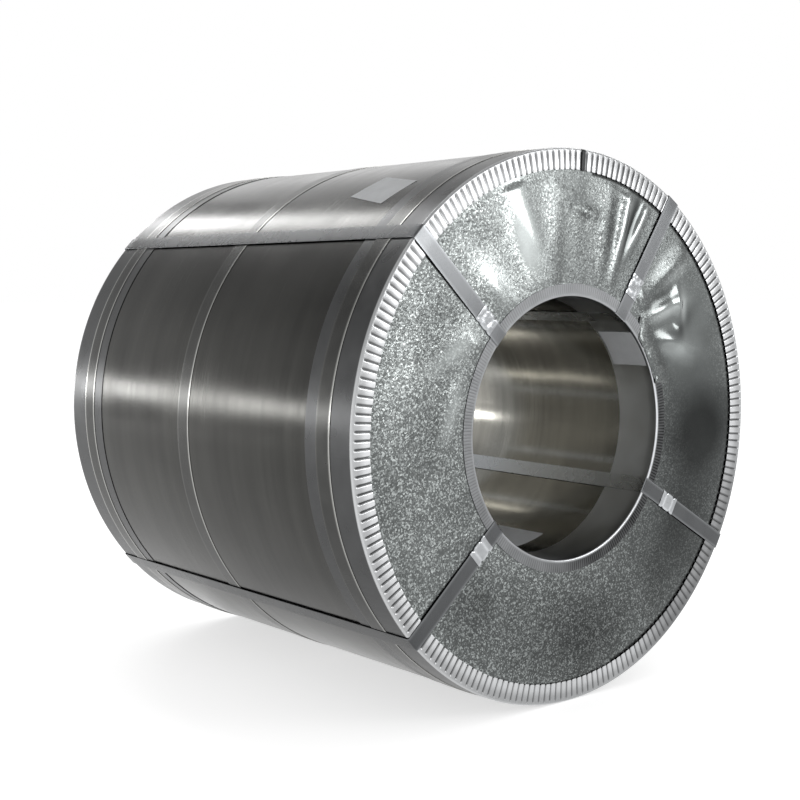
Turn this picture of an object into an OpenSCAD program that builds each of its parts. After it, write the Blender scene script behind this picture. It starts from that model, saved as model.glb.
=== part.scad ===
// Steel coil in a sheet-metal shipping wrap, lying on its side.
// The coil's axis runs along Y through the middle of the bore, and +Z is up.
// The end with the strap seals faces -Y. Angles are seen from that end, from +X towards +Z.

/* [Steel coil] */
// Width of the wound strip
coil_width = 1000; // [600:10:1500]
// Outside diameter of the winding
coil_od = 1050; // [900:5:1400]
// Diameter of the winding's bore
coil_bore = 508; // [480:1:620]
// Distance between the turn lines on the coil's ends
turn_pitch = 12; // [8:1:30]
// Depth of a turn line
turn_depth = 0.8; // [0.3:0.1:1.5]

/* [Wrapping sheets] */
// Sheet thickness of the wrap around the outside
wrap_sheet = 0.6; // [0.4:0.1:1.2]
// Sheet thickness of the liner in the bore
liner_sheet = 0.6; // [0.4:0.1:1.2]
// Distance that the liner stops short of the coil's ends
liner_setback = 4; // [3:0.5:20]
// Sheet thickness of the end discs
disc_sheet = 0.8; // [0.5:0.1:1.2]
// Distance that an end disc stops short of the bore
disc_setback = 3; // [2.5:0.5:10]
// Clearance between pieces that lie on each other
lay_gap = 0.3; // [0.1:0.05:0.5]
// Room for the oiled paper under the wrap and the liner
paper_gap = 1.2; // [0.8:0.1:2]

/* [Outer edge rings] */
// Sheet thickness of all edge rings
ring_sheet = 0.8; // [0.5:0.1:1.2]
// Width of the fluted flange on the coil's end
ring_flange = 40; // [25:1:60]
// Length of the leg along the outside
ring_leg = 128; // [100:1:200]
// Radius of the bend at the rim
ring_bend = 4; // [3:0.5:8]
// Number of flutes around the flange
flute_count = 214; // [120:1:230]
// Height of the flutes
flute_height = 3; // [2.4:0.1:4]
// Width of the groove between two flutes
groove_width = 5; // [3:0.5:7]
// Width of the open joint between the two ends of a ring's strip
ring_joint = 2; // [1:0.5:6]
// Angle of that joint
ring_joint_angle = 87.7; // [70:0.1:110]

/* [Inner edge rings] */
// Width of the flange around the bore
bore_flange = 24; // [12:1:40]
// Length of the leg in the bore
bore_leg = 96; // [60:1:200]
// Radius of the bend at the bore's edge
bore_bend = 3; // [2.5:0.5:6]

/* [Straps] */
// Strap thickness
strap_sheet = 0.8; // [0.5:0.1:1]
// Width of the straps around the outside
girth_width = 40; // [19:1:50]
// Distance from the coil's ends to the middle of the two outer girth straps
girth_inset = 76; // [50:1:100]
// Distance of the middle girth strap from the coil's middle, towards the front
girth_middle = -36; // [-100:1:100]
// Skew of the middle girth strap in degrees
girth_skew = 1.5; // [0:0.1:3]
// Width of the straps through the bore
eye_width = 32; // [19:1:40]
// Angles of the straps through the bore
eye_angles = [136.4, 56.7, -30.6, -138.2];

/* [Strap seals] */
// Length of a seal along its strap
seal_length = 46; // [30:1:60]
// Sheet thickness of a seal
seal_sheet = 0.7; // [0.5:0.1:0.8]
// Width of the lips that a seal folds under its strap
seal_lip = 9; // [5:1:12]
// Depth of the notches crimped into a seal's sides
notch_depth = 3; // [1:0.5:4]
// Length of a notch
notch_length = 6; // [3:0.5:8]
// Distance from the bore to the middle of each eye strap's seal
seal_reach = [50, 67, 80, 57];
// Angle of the seals of the girth straps
girth_seal_angle = 12; // [-20:1:40]

/* [Paper labels] */
// Thickness of a label
label_sheet = 0.2; // [0.1:0.05:0.4]
// Length of the two larger labels along the axis
label_length = 130; // [60:1:210]
// Width of the labels around the coil
label_width = 84; // [60:1:120]
// Distance of the outside label's middle from the front end
outer_label_inset = 229; // [215:1:380]
// Angle of the outside label's middle
outer_label_angle = 120.5; // [100:0.5:125]
// Slant of the outside label on the wrap in degrees
outer_label_slant = 15; // [-20:1:20]
// Length of the label on the front ring's leg
leg_label_length = 86; // [40:1:90]
// Angle of the label on the front ring's leg
leg_label_angle = 36; // [20:1:42]
// Angle of the label on the liner
liner_label_angle = -78; // [-110:1:-60]
// Distance of the liner label's middle from the front end
liner_label_inset = 224; // [210:1:400]

/* [Hidden] */
$fn = 180;

// Length by which a cutter reaches past the face that it cuts
over = 1;
// Degrees by which a sector is wider than the strap that is cut from it
sector_over = 2;
half_width = coil_width / 2;
coil_r = coil_od / 2;
bore_r = coil_bore / 2;

// Outward layers: wrap, ring leg, girth strap, eye strap
wrap_in = coil_r + paper_gap;
wrap_r = wrap_in + wrap_sheet;
leg_in = wrap_r + lay_gap;
rim_r = leg_in + ring_sheet;
girth_over_ring = rim_r + lay_gap;
girth_over_wrap = wrap_r + lay_gap;
eye_outer = girth_over_ring + strap_sheet + lay_gap;

// Inward layers in the bore: liner, ring leg, eye strap
liner_r = bore_r - paper_gap;
liner_in = liner_r - liner_sheet;
bore_leg_r = liner_in - lay_gap;
eye_bore_r = bore_leg_r - ring_sheet;
eye_inner = eye_bore_r - lay_gap;

// Layers on the coil's end: disc, flanges, eye strap
disc_low = lay_gap;
disc_top = disc_low + disc_sheet;
flange_low = disc_top + lay_gap;
flute_top = flange_low + flute_height;
bore_flange_top = flange_low + ring_sheet;
eye_on_flutes = flute_top + lay_gap;
eye_on_bore_flange = bore_flange_top + lay_gap;

// Flutes of the outer edge rings
flange_in_r = rim_r - ring_flange;
flute_end_r = rim_r - ring_bend;
flute_angle = 360 / flute_count;
flute_pitch = 2 * flange_in_r * sin(flute_angle / 2);
groove_depth = flute_height - ring_sheet;
groove_run = groove_width / 2 / groove_depth;
groove_wall = ring_sheet * sqrt(1 + groove_run * groove_run);

// The eye straps slope from the flutes down to the bore's flange
bore_flange_r = eye_bore_r + bore_flange;
eye_slope = atan((eye_on_flutes - eye_on_bore_flange) / (flange_in_r - bore_flange_r));
eye_bend = bore_bend;
bend_steps = 5;
eye_sector = 2 * asin(eye_width / 2 / (eye_inner - strap_sheet)) + sector_over;

// A seal's inside is wider than its strap by a clearance on each side
seal_clear = 0.4;
girth_front_z = half_width - girth_inset;

function eye_height(r) = eye_on_bore_flange + (r - bore_flange_r) * tan(eye_slope);

// Lays the coil's axis along Y, with the front end towards -Y
module lay() {
    rotate([90, 0, 0]) children();
}

// Puts a piece that is drawn on the plane of a coil end onto the front end
module front_end() {
    lay() translate([0, 0, half_width]) children();
}

// Puts the same piece onto the back end
module back_end() {
    lay() mirror([0, 0, 1]) translate([0, 0, half_width]) children();
}

// A tube from r_in to r_out between two heights
module tube(r_in, r_out, low, high) {
    rotate_extrude() translate([r_in, low]) square([r_out - r_in, high - low]);
}

// Section of the winding, with the turn lines as notches in both ends
module coil() {
    turns = floor((coil_r - bore_r) / turn_pitch) - 1;
    color("silver") lay() rotate_extrude() difference() {
        translate([bore_r, -half_width]) square([coil_r - bore_r, coil_width]);
        for (i = [1 : turns], z = [-half_width, half_width])
            translate([bore_r + i * turn_pitch, z]) rotate(45) square(turn_depth * sqrt(2), center = true);
    }
}

module outer_wrap() {
    color("dimgray") lay() tube(wrap_in, wrap_r, -half_width, half_width);
}

module bore_liner() {
    reach = half_width - liner_setback;
    color("gray") lay() tube(liner_in, liner_r, -reach, reach);
}

module end_disc() {
    color("lightgray") tube(bore_r + disc_setback, wrap_r, disc_low, disc_top);
}

// Section of an outer edge ring: a leg along the outside, a round rim and the flange
module outer_ring_section() {
    translate([leg_in, -ring_leg]) square([ring_sheet, ring_leg + flute_top - ring_bend]);
    translate([flange_in_r, flange_low]) square([flute_end_r - flange_in_r, flute_height]);
    intersection() {
        translate([flute_end_r, flute_top - ring_bend]) circle(ring_bend);
        difference() {
            translate([flute_end_r, flute_top - ring_bend]) square(ring_bend + over);
            translate([flute_end_r - over, flute_top - ring_bend - over])
                square([leg_in - flute_end_r + over, flange_low - flute_top + ring_bend + over]);
        }
    }
}

// Cutter of the groove between two flutes, along +X
module flute_groove() {
    half = groove_width / 2;
    rise = over * groove_run;
    translate([flange_in_r - over, 0, flute_top]) rotate([90, 0, 90])
        linear_extrude(flute_end_r - flange_in_r + over)
            polygon([[0, -groove_depth], [half + rise, over], [-half - rise, over]]);
}

// Cutter of the hollow under a flute, along +X
module flute_hollow() {
    high = flute_height - ring_sheet;
    foot = flute_pitch / 2 - groove_wall + (ring_sheet + over) * groove_run;
    head = foot - (high + over) * groove_run;
    translate([flange_in_r - over, 0, flange_low]) rotate([90, 0, 90])
        linear_extrude(flute_end_r - flange_in_r + over - ring_sheet)
            polygon([[-foot, -over], [foot, -over], [head, high], [-head, high]]);
}

// Edge ring of one strip: the flutes take up the length that the flange has too much
module outer_edge_ring() {
    color("gainsboro") difference() {
        rotate_extrude() outer_ring_section();
        for (i = [0 : flute_count - 1]) rotate(ring_joint_angle + i * flute_angle) {
            flute_groove();
            rotate(flute_angle / 2) flute_hollow();
        }
        rotate(ring_joint_angle) translate([flange_in_r - over, -ring_joint / 2, -ring_leg - over])
            cube([ring_flange + 2 * over, ring_joint, ring_leg + flute_top + 2 * over]);
    }
}

// Edge ring of the bore: a flange on the disc, a bend and a leg along the liner
module inner_edge_ring() {
    bend_r = eye_bore_r + bore_bend;
    bend_z = bore_flange_top - bore_bend;
    color("darkgray") rotate_extrude() {
        translate([bend_r, flange_low]) square([bore_flange_r - bend_r, ring_sheet]);
        translate([eye_bore_r, -bore_leg]) square([ring_sheet, bend_z + bore_leg]);
        intersection() {
            translate([bend_r, bend_z]) difference() {
                circle(bore_bend);
                circle(bore_bend - ring_sheet);
            }
            translate([bend_r - bore_bend - over, bend_z]) square(bore_bend + over);
        }
    }
}

// A girth strap around radius r_in, with its middle at height z
module girth_strap(r_in, z, skew = 0) {
    reach = girth_width / 2 + rim_r * tan(skew) + over;
    r_out = r_in + strap_sheet;
    color("silver") lay() translate([0, 0, z]) intersection() {
        tube(r_in, r_out, -reach, reach);
        rotate([skew, 0, 0]) cube([3 * r_out, 3 * r_out, girth_width], center = true);
    }
}

// Cutters of the notches in both sides of a seal that lies along Y, with its width along Z
module seal_notches(width, tall) {
    for (side = [-1, 1], along = [-1, 1])
        translate([0, along * seal_length / 4, side * width / 2])
            cube([tall, notch_length, 2 * notch_depth], center = true);
}

// Saddle seal over a girth strap, with notched sides
module girth_seal(r_in, z, skew = 0) {
    width = girth_width + 2 * (seal_clear + seal_sheet);
    r_out = r_in + strap_sheet + lay_gap + seal_sheet;
    sector = seal_length / r_in * 180 / PI;
    shift = r_in * sin(girth_seal_angle) * tan(skew);
    lean = atan(cos(girth_seal_angle) * tan(skew));
    color("whitesmoke") lay() translate([0, 0, z + shift]) rotate([0, 0, girth_seal_angle])
        rotate([lean, 0, 0]) difference() {
            rotate(-sector / 2) rotate_extrude(angle = sector) difference() {
                translate([r_in, -width / 2]) square([r_out - r_in, width]);
                translate([r_in - over, -width / 2 + seal_sheet])
                    square([strap_sheet + lay_gap + over, width - 2 * seal_sheet]);
            }
            translate([r_out, 0, 0]) seal_notches(width, seal_length);
        }
}

// Points of a quarter bend around a centre, from one angle to another
function bend_points(x, y, r, from, to) =
    [for (i = [0 : bend_steps])
        let (a = from + (to - from) * i / bend_steps) [x + r * cos(a), y + r * sin(a)]];

// Outline of an eye strap's loop through the bore, grown outwards by the strap's thickness or not
module eye_loop(grow) {
    out_x = eye_outer - eye_bend;
    in_x = eye_inner + eye_bend;
    out_y = half_width + eye_on_flutes - eye_bend;
    in_y = half_width + eye_on_bore_flange - eye_bend;
    r = eye_bend + grow;
    face = concat(bend_points(in_x, in_y, r, 180, 90),
                  [[bore_flange_r, in_y + r], [flange_in_r, out_y + r]],
                  bend_points(out_x, out_y, r, 90, 0));
    polygon(concat(face, [for (i = [len(face) - 1 : -1 : 0]) [face[i][0], -face[i][1]]]));
}

// A strap through the bore and over both ends, snug on the coil and as wide all the way
module eye_strap(angle) {
    color("silver") lay() rotate(angle) intersection() {
        rotate(-eye_sector / 2) rotate_extrude(angle = eye_sector) difference() {
            eye_loop(strap_sheet);
            eye_loop(0);
        }
        translate([0, -eye_width / 2, -coil_width])
            cube([2 * coil_r, eye_width, 2 * coil_width]);
    }
}

// Section of an eye strap's seal: a plate, two sides and two lips folded under the strap
module eye_seal_section() {
    inner = eye_width / 2 + seal_clear;
    outer = inner + seal_sheet;
    low = -lay_gap;
    high = strap_sheet + lay_gap;
    difference() {
        translate([-outer, low - seal_sheet]) square([2 * outer, high - low + 2 * seal_sheet]);
        translate([-inner, low]) square([2 * inner, high - low]);
        translate([seal_lip - outer, low - seal_sheet - over])
            square([2 * (outer - seal_lip), seal_sheet + 2 * over]);
    }
}

// Crimped seal around an eye strap on the front end
module eye_seal(angle, reach) {
    r = bore_r + reach;
    width = eye_width + 2 * (seal_clear + seal_sheet);
    color("whitesmoke") front_end() rotate(angle) translate([r, 0, eye_height(r)])
        rotate([0, -eye_slope, 0]) difference() {
            translate([-seal_length / 2, 0, 0]) rotate([90, 0, 90])
                linear_extrude(seal_length) eye_seal_section();
            rotate([90, 0, 90]) rotate([0, 90, 0]) rotate([0, 0, 90]) seal_notches(width, seal_length);
        }
}

// A sheet of paper of the given size, bent onto radius r_in, its middle at the angle and height
module label(r_in, angle, z, length, width, slant = 0) {
    color("ivory") lay() intersection() {
        tube(r_in, r_in + label_sheet, z - length, z + length);
        rotate(angle) translate([r_in, 0, z]) rotate([slant, 0, 0])
            cube([r_in, width, length], center = true);
    }
}

module outer_label() {
    label(wrap_r + lay_gap, outer_label_angle, half_width - outer_label_inset,
          label_length, label_width, outer_label_slant);
}

module bore_label_leg() {
    inset = leg_label_length / 2 + bore_bend + over;
    label(eye_bore_r - lay_gap - label_sheet, leg_label_angle, half_width - inset,
          leg_label_length, label_width);
}

module bore_label_liner() {
    label(liner_in - lay_gap - label_sheet, liner_label_angle, half_width - liner_label_inset,
          label_length, label_width);
}

coil();
outer_wrap();
bore_liner();
front_end() end_disc();  // end_disc_front
back_end() end_disc();  // end_disc_back
front_end() outer_edge_ring();  // outer_edge_ring_front
back_end() outer_edge_ring();  // outer_edge_ring_back
front_end() inner_edge_ring();  // inner_edge_ring_front
back_end() inner_edge_ring();  // inner_edge_ring_back
girth_strap(girth_over_ring, girth_front_z);  // girth_strap_front
girth_strap(girth_over_wrap, girth_middle, girth_skew);  // girth_strap_middle
girth_strap(girth_over_ring, -girth_front_z);  // girth_strap_back
girth_seal(girth_over_ring, girth_front_z);  // girth_seal_front
girth_seal(girth_over_wrap, girth_middle, girth_skew);  // girth_seal_middle
girth_seal(girth_over_ring, -girth_front_z);  // girth_seal_back
eye_strap(eye_angles[0]);  // eye_strap_upper_left
eye_strap(eye_angles[1]);  // eye_strap_upper_right
eye_strap(eye_angles[2]);  // eye_strap_lower_right
eye_strap(eye_angles[3]);  // eye_strap_lower_left
eye_seal(eye_angles[0], seal_reach[0]);  // eye_seal_upper_left
eye_seal(eye_angles[1], seal_reach[1]);  // eye_seal_upper_right
eye_seal(eye_angles[2], seal_reach[2]);  // eye_seal_lower_right
eye_seal(eye_angles[3], seal_reach[3]);  // eye_seal_lower_left
outer_label();
bore_label_leg();
bore_label_liner();
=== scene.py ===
"""The looks of a steel coil in its sheet-metal shipping wrap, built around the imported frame."""
import functools
import logging
import math
import random
from collections.abc import Callable, Sequence
from dataclasses import dataclass
from enum import Enum

import bmesh
import bpy
from bmesh.types import BMEdge, BMesh, BMVert
from bpy.types import Material, Node, NodeSocket, Object
from mathutils import Matrix, Vector, noise


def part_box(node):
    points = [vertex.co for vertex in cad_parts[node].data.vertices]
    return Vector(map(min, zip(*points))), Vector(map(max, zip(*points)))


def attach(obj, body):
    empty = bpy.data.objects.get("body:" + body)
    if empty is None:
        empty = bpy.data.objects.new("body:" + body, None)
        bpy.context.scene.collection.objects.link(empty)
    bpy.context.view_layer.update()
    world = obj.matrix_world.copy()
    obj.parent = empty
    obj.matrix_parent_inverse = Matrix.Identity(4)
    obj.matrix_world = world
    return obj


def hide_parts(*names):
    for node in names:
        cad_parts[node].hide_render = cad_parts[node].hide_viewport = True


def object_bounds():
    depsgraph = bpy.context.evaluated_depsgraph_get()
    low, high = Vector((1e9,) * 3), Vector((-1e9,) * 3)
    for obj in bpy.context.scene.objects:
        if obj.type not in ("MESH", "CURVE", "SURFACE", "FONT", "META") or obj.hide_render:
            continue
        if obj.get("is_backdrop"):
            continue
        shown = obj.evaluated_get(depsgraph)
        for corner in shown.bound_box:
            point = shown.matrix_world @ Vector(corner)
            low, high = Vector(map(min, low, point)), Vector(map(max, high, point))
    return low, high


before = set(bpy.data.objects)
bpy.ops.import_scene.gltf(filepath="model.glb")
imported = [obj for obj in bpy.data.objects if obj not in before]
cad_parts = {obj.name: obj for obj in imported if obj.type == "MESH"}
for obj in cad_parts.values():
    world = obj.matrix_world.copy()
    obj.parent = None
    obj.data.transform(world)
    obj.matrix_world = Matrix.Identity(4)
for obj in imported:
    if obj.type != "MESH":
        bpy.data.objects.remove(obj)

LOG = logging.getLogger("steel_coil")
MM = 0.001
TURN = 2 * math.pi
SHEET = 0.8 * MM  # Thickness of rings, discs and straps
LAY = 0.3 * MM  # Clearance between pieces that lie on each other
HAIR = 0.01 * MM  # A distance that counts as none
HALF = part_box("coil")[1].y  # Half the winding's width
Point = tuple[float, float]
Place = tuple[float, float, float]
Colour = tuple[float, float, float]
Rule = Callable[[float, float, float], Place]


class End(Enum):
    """An end of the coil, with the sign of its outward direction along Y."""

    FRONT = -1
    BACK = 1

    @property
    def tag(self) -> str:
        """The end's name as the CAD nodes spell it.

        Returns:
            "front" or "back".
        """
        return self.name.lower()


class Grain(Enum):
    """How a surface is marked."""

    SPANGLE = "spangle"
    ROLLED = "rolled"
    SATIN = "satin"
    PAPER = "paper"


def smooth(x: float) -> float:
    """Eases a value from 0 to 1.

    Args:
        x: Any number; below 0 gives 0 and above 1 gives 1.

    Returns:
        The eased value.
    """
    x = min(max(x, 0.0), 1.0)
    return x * x * (3 - 2 * x)


def band(angle: float, middle: float, fade: float, reach: float) -> float:
    """How far an angle lies in a soft-sided band around the coil.

    Args:
        angle: The angle in degrees.
        middle: The band's middle.
        fade: The width of each soft side.
        reach: How many times that width the band reaches from its middle.

    Returns:
        1 in the band and 0 outside.
    """
    return smooth(reach - abs(angle - middle) / fade)


def around(r: float, a: float, y: float) -> Place:
    """A point given by its radius and its angle around the coil's axis.

    Args:
        r: The radius.
        a: The angle, from +X towards +Z.
        y: The place along the axis.

    Returns:
        The point's X, Y and Z.
    """
    return r * math.cos(a), y, r * math.sin(a)


def polar(point: Vector) -> Point:
    """A point's radius and angle around the coil's axis.

    Args:
        point: The point.

    Returns:
        The radius and the angle.
    """
    return math.hypot(point.x, point.z), math.atan2(point.z, point.x)


class Graph:
    """A material's node tree, with short calls for the nodes in use."""

    def __init__(self, name: str) -> None:
        """Starts a material.

        Args:
            name: The material's name.
        """
        self.material = bpy.data.materials.new(name)
        self.material.use_nodes = True
        self.tree = self.material.node_tree
        self.shader = self.tree.nodes["Principled BSDF"]

    def add(self, kind: str, **inputs: object) -> Node:
        """Adds a node and fills its inputs.

        Args:
            kind: The node's type name.
            inputs: A socket to link from or a value, for each input by its name with _ for a space.

        Returns:
            The new node.
        """
        node = self.tree.nodes.new(kind)
        for name, value in inputs.items():
            self.feed(node.inputs[name.replace("_", " ")], value)
        return node

    def feed(self, socket: NodeSocket, value: object) -> None:
        """Links or sets one input.

        Args:
            socket: The input.
            value: A socket to link from, or the input's value.
        """
        if isinstance(value, NodeSocket):
            self.tree.links.new(value, socket)
        else:
            socket.default_value = value

    def calc(self, operation: str, a: object, b: object = 0.0) -> NodeSocket:
        """A sum on two numbers.

        Args:
            operation: The sum's name.
            a: The first number or socket.
            b: The second number or socket.

        Returns:
            The result's socket.
        """
        node = self.tree.nodes.new("ShaderNodeMath")
        node.operation = operation
        self.feed(node.inputs[0], a)
        self.feed(node.inputs[1], b)
        return node.outputs[0]

    def vector(self, operation: str, a: object, b: object = None) -> NodeSocket:
        """A sum on vectors.

        Args:
            operation: The sum's name.
            a: The first vector or socket.
            b: The second vector, the factor of a SCALE sum, or the socket of either.

        Returns:
            The result's socket.
        """
        node = self.tree.nodes.new("ShaderNodeVectorMath")
        node.operation = operation
        self.feed(node.inputs[0], a)
        if b is not None:
            self.feed(node.inputs["Scale" if operation == "SCALE" else 1], b)
        return node.outputs[0]

    def span(self, value: object, low: float, high: float,
             start: float = 0.0, stop: float = 1.0) -> NodeSocket:
        """Maps a number from start..stop to low..high.

        Args:
            value: The number's socket.
            low: The result at start.
            high: The result at stop.
            start: The first value.
            stop: The last value.

        Returns:
            The result's socket.
        """
        node = self.add("ShaderNodeMapRange", Value=value,
                        From_Min=start, From_Max=stop, To_Min=low, To_Max=high)
        node.clamp = False
        return node.outputs["Result"]

    def noise(self, coords: NodeSocket, stretch: Sequence[float], detail: float = 3.0,
              roughness: float = 0.55) -> NodeSocket:
        """Noise on stretched coordinates.

        Args:
            coords: The coordinates.
            stretch: The frequency along X, Y and Z, per metre.
            detail: Number of finer layers.
            roughness: Strength of the finer layers.

        Returns:
            The noise's value socket, about 0.5 on average.
        """
        place = self.vector("MULTIPLY", coords, stretch)
        node = self.add("ShaderNodeTexNoise", Vector=place, Scale=1.0, Detail=detail, Roughness=roughness)
        return node.outputs["Fac"]

    def attribute(self, name: str) -> NodeSocket:
        """A number that the mesh carries at each vertex.

        Args:
            name: The attribute's name.

        Returns:
            The number's socket.
        """
        node = self.add("ShaderNodeAttribute")
        node.attribute_name = name
        return node.outputs["Fac"]


@dataclass(frozen=True)
class Finish:
    """A surface: its colour, its shine and how it is marked."""

    name: str
    colour: Colour
    roughness: float
    grain: Grain
    uneven: float
    bump: float
    metallic: float = 1.0
    # How strongly painted light and shade change the colour: by the "tone" attribute on spangle, by the
    # "edge" attribute on satin
    edge: float = 0.0

    @functools.cache
    def material(self) -> Material:
        """Builds the material once and hands it out again later.

        Returns:
            The material.
        """
        graph = Graph(f"{self.name}_look")
        graph.feed(graph.shader.inputs["Metallic"], self.metallic)
        marks = {Grain.SPANGLE: self._spangle, Grain.ROLLED: self._rolled,
                 Grain.SATIN: self._satin, Grain.PAPER: self._paper}
        marks[self.grain](graph, graph.add("ShaderNodeTexCoord").outputs["Object"])
        return graph.material

    def _spangle(self, graph: Graph, coords: NodeSocket) -> None:
        """Zinc crystals: each cell has its own tone, the few bright cells being painted glints, and leans its
        own way, less where "edge" is high.

        The attribute "tone" is painted light and shade: it makes the sheet lighter or darker.

        Args:
            graph: The material's graph.
            coords: Object coordinates.
        """
        wander = graph.add("ShaderNodeTexNoise", Vector=coords, Scale=300.0, Detail=2.0).outputs["Color"]
        bent = graph.vector("ADD", coords, graph.vector("SCALE", wander, 0.0025))
        cells = graph.add("ShaderNodeTexVoronoi", Vector=bent, Scale=380.0)
        rough = graph.span(graph.attribute("edge"), 1.0, 0.04)
        lean = graph.vector("SCALE", graph.vector("SUBTRACT", cells.outputs["Color"], (0.5, 0.5, 0.5)),
                            graph.calc("MULTIPLY", rough, self.bump))
        normal = graph.add("ShaderNodeNewGeometry").outputs["Normal"]
        leant = graph.vector("NORMALIZE", graph.vector("ADD", normal, lean))
        fine = graph.noise(coords, (190, 190, 190), 3.0, 0.65)
        bump = graph.add("ShaderNodeBump", Height=fine, Normal=leant, Distance=0.0012,
                         Strength=graph.calc("MULTIPLY", rough, 0.55))
        graph.feed(graph.shader.inputs["Normal"], bump.outputs["Normal"])
        # Each crystal's own tone, mostly darker with a few bright ones: the spangle's grain, with the bright
        # crystals as painted glints.
        tone = graph.add("ShaderNodeSeparateColor", Color=cells.outputs["Color"]).outputs["Red"]
        crystal_tone_and_glint = graph.span(graph.calc("POWER", tone, 3.5), -1.7 * self.uneven, 6.5 * self.uneven)
        patch = graph.noise(coords, (9, 9, 9), 4.0)
        # Painted light and shade: the "tone" attribute lightens or darkens the colour.
        painted_light = graph.span(graph.attribute("tone"), 1.0, 1.0 + self.edge)
        cell = graph.calc("MULTIPLY", painted_light, graph.calc("ADD", graph.calc("MULTIPLY", crystal_tone_and_glint, rough), 1.0))
        shade = graph.calc("MULTIPLY", cell, graph.span(patch, 0.8, 1.2, 0.3, 0.7))
        graph.feed(graph.shader.inputs["Base Color"], graph.vector("SCALE", self.colour, shade))
        even = graph.calc("MULTIPLY", graph.span(rough, 0.5, 1.0), self.roughness)
        graph.feed(graph.shader.inputs["Roughness"],
                   graph.calc("MULTIPLY", even, graph.span(patch, 1.25, 0.8)))

    def _rolled(self, graph: Graph, coords: NodeSocket) -> None:
        """Rolled sheet: fine lines around the coil and faint bands across its width.

        Args:
            graph: The material's graph.
            coords: Object coordinates.
        """
        lines = graph.noise(coords, (2.5, 620, 2.5), 3.0, 0.7)
        bands = graph.noise(coords, (1.2, 26, 1.2), 4.0)
        patch = graph.noise(coords, (5, 4, 5), 3.0)
        shade = graph.calc("MULTIPLY", graph.span(bands, 1 - self.uneven, 1 + self.uneven, 0.25, 0.75),
                           graph.span(patch, 0.85, 1.15, 0.3, 0.7))
        bump = graph.add("ShaderNodeBump", Height=lines, Strength=self.bump, Distance=0.0004)
        graph.feed(graph.shader.inputs["Normal"], bump.outputs["Normal"])
        graph.feed(graph.shader.inputs["Base Color"], graph.vector("SCALE", self.colour, shade))
        rough = graph.calc("ADD", graph.span(lines, -0.06, 0.06, 0.3, 0.7),
                           graph.span(patch, self.roughness * 0.85, self.roughness * 1.2, 0.3, 0.7))
        graph.feed(graph.shader.inputs["Roughness"], rough)

    def _satin(self, graph: Graph, coords: NodeSocket) -> None:
        """Satin galvanised sheet: a fine even grain, lighter or darker where the "edge" attribute paints
        highlights and shade.

        Args:
            graph: The material's graph.
            coords: Object coordinates.
        """
        fine = graph.noise(coords, (700, 700, 700), 2.0)
        patch = graph.noise(coords, (24, 24, 24), 1.0)
        # Painted highlights and shade: the "edge" attribute lightens or darkens the colour.
        shade = graph.calc("ADD", graph.span(patch, 1 - self.uneven, 1 + self.uneven, 0.25, 0.75),
                           graph.calc("MULTIPLY", graph.attribute("edge"), self.edge))
        bump = graph.add("ShaderNodeBump", Height=fine, Strength=self.bump, Distance=0.0004)
        graph.feed(graph.shader.inputs["Normal"], bump.outputs["Normal"])
        graph.feed(graph.shader.inputs["Base Color"], graph.vector("SCALE", self.colour, shade))
        graph.feed(graph.shader.inputs["Roughness"],
                   graph.span(patch, self.roughness * 0.8, self.roughness * 1.3))

    def _paper(self, graph: Graph, coords: NodeSocket) -> None:
        """Blank paper, a little dirty.

        Args:
            graph: The material's graph.
            coords: Object coordinates.
        """
        patch = graph.noise(coords, (30, 30, 30), 4.0)
        shade = graph.span(patch, 1 - self.uneven, 1 + self.uneven, 0.25, 0.75)
        graph.feed(graph.shader.inputs["Base Color"], graph.vector("SCALE", self.colour, shade))
        graph.feed(graph.shader.inputs["Roughness"], self.roughness)


WINDING = Finish("wound_strip", (0.30, 0.30, 0.30), 0.40, Grain.SATIN, 0.12, 0.10)
WRAP = Finish("wrap_sheet", (0.042, 0.0415, 0.0385), 0.20, Grain.ROLLED, 0.20, 0.10)
LINER = Finish("liner_sheet", (0.275, 0.268, 0.242), 0.13, Grain.ROLLED, 0.20, 0.06)
DISC = Finish("disc_sheet", (0.152, 0.162, 0.160), 0.27, Grain.SPANGLE, 0.24, 0.17, edge=1.0)
RING = Finish("edge_ring", (0.065, 0.066, 0.067), 0.28, Grain.SATIN, 0.10, 0.05, edge=6.5)
BORE_RING = Finish("bore_ring", (0.20, 0.205, 0.21), 0.32, Grain.SATIN, 0.12, 0.06, edge=1.6)
GIRTH = Finish("girth_strap", (0.050, 0.050, 0.048), 0.24, Grain.SATIN, 0.12, 0.0, edge=6.5)
STRAP = Finish("strap", (0.060, 0.062, 0.064), 0.26, Grain.SATIN, 0.12, 0.0, edge=2.4)
SEAL = Finish("seal", (0.32, 0.33, 0.34), 0.22, Grain.SATIN, 0.15, 0.20, edge=0.5)
PAPER = Finish("label_paper", (0.50, 0.51, 0.52), 0.75, Grain.PAPER, 0.08, 0.0, metallic=0.0)


@dataclass(frozen=True)
class Span:
    """Where a CAD node lies around the coil's axis."""

    r_min: float
    r_max: float
    y_min: float
    y_max: float
    angle: float
    lean: float

    @classmethod
    @functools.cache
    def of(cls, node: str) -> "Span":
        """Measures a CAD node.

        Args:
            node: The node's name.

        Returns:
            Its radii, its reach along the axis, its mean angle and its lean along Y for each metre up.
        """
        points = [v.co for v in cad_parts[node].data.vertices]
        low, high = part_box(node)
        radii = [math.hypot(p.x, p.z) for p in points]
        middle = sum(points, Vector()) / len(points)
        rise = sum((p.z - middle.z) ** 2 for p in points)
        lean = sum((p.z - middle.z) * (p.y - middle.y) for p in points) / rise
        return cls(min(radii), max(radii), low.y, high.y, math.atan2(middle.z, middle.x), lean)


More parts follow.
